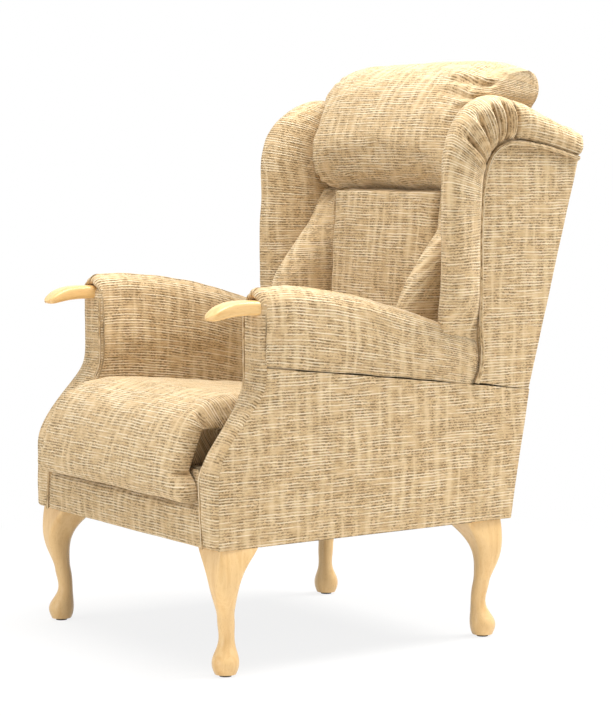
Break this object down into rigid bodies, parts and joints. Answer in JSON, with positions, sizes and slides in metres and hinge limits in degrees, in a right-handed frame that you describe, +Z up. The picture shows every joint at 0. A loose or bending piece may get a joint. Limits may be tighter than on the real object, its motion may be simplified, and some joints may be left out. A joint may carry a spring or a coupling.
{
  "type": "fireside chair",
  "caption": "Upholstered wing armchair with a raked back, soft back pads, head pillow, loose drop-front seat cushion, beech hand grips and curved legs.",
  "frame": {"origin": "on the floor, under the middle of the chair's overall length and width", "axes": "+Z up, -Y out of the front of the seat, +X to the sitter's left"},
  "size_m": [0.6926, 0.9091, 1.1093],
  "materials": {
    "upholstery": "beige and pale gold slub weave",
    "beech": "satin lacquered natural beech",
    "frame_wood": "planed hardwood",
    "steel": "drawn and zinc plated",
    "glide_plastic": "moulded",
    "webbing": "elastic webbing",
    "base_cloth": "spun dust cover",
    "deck_cloth": "felt and hessian",
    "zip": "moulded coil zip"
  },
  "bodies": {
    "frame": {"arm_facing_left": "upholstery", "arm_facing_right": "upholstery", "arm_pad_left": "upholstery", "arm_pad_right": "upholstery", "arm_post_left": "frame_wood", "arm_post_right": "frame_wood", "arm_rail_left": "frame_wood", "arm_rail_right": "frame_wood", "back_top_border": "upholstery", "back_upright_left": "frame_wood", "back_upright_right": "frame_wood", "back_webbing": "webbing", "base_cloth": "base_cloth", "centre_back_pad": "upholstery", "corner_blocks": "frame_wood", "facing_piping_left": "upholstery", "facing_piping_right": "upholstery", "front_border": "upholstery", "front_leg_left": "beech", "front_leg_right": "beech", "front_seat_rail": "frame_wood", "glides": "glide_plastic", "grip_screws": "steel", "hand_grip_left": "beech", "hand_grip_right": "beech", "head_pillow": "upholstery", "inside_arm_left": "upholstery", "inside_arm_right": "upholstery", "inside_wing_left": "upholstery", "inside_wing_right": "upholstery", "leg_bolts": "steel", "leg_plates": "steel", "lower_back_rail": "frame_wood", "middle_back_rail": "frame_wood", "outside_arm_left": "upholstery", "outside_arm_right": "upholstery", "outside_back": "upholstery", "outside_wing_left": "upholstery", "outside_wing_right": "upholstery", "rear_leg_left": "beech", "rear_leg_right": "beech", "rear_seat_rail": "frame_wood", "seat_platform": "deck_cloth", "seat_springs": "steel", "side_back_pad_left": "upholstery", "side_back_pad_right": "upholstery", "side_seat_rail_left": "frame_wood", "side_seat_rail_right": "frame_wood", "spring_clips": "steel", "top_back_rail": "frame_wood", "wing_board_left": "frame_wood", "wing_board_right": "frame_wood", "wing_piping_left": "upholstery", "wing_piping_right": "upholstery", "wing_roll_left": "upholstery", "wing_roll_right": "upholstery"},
    "cushion": {"seat_cushion": "upholstery", "cushion_zip": "zip"}
  },
  "joints": [
    {"name": "seat_cushion_out", "type": "slide", "parent": "frame", "child": "cushion", "axis": [0, -0.9966, 0.0819], "range_m": [0, 0.66]}
  ]
}
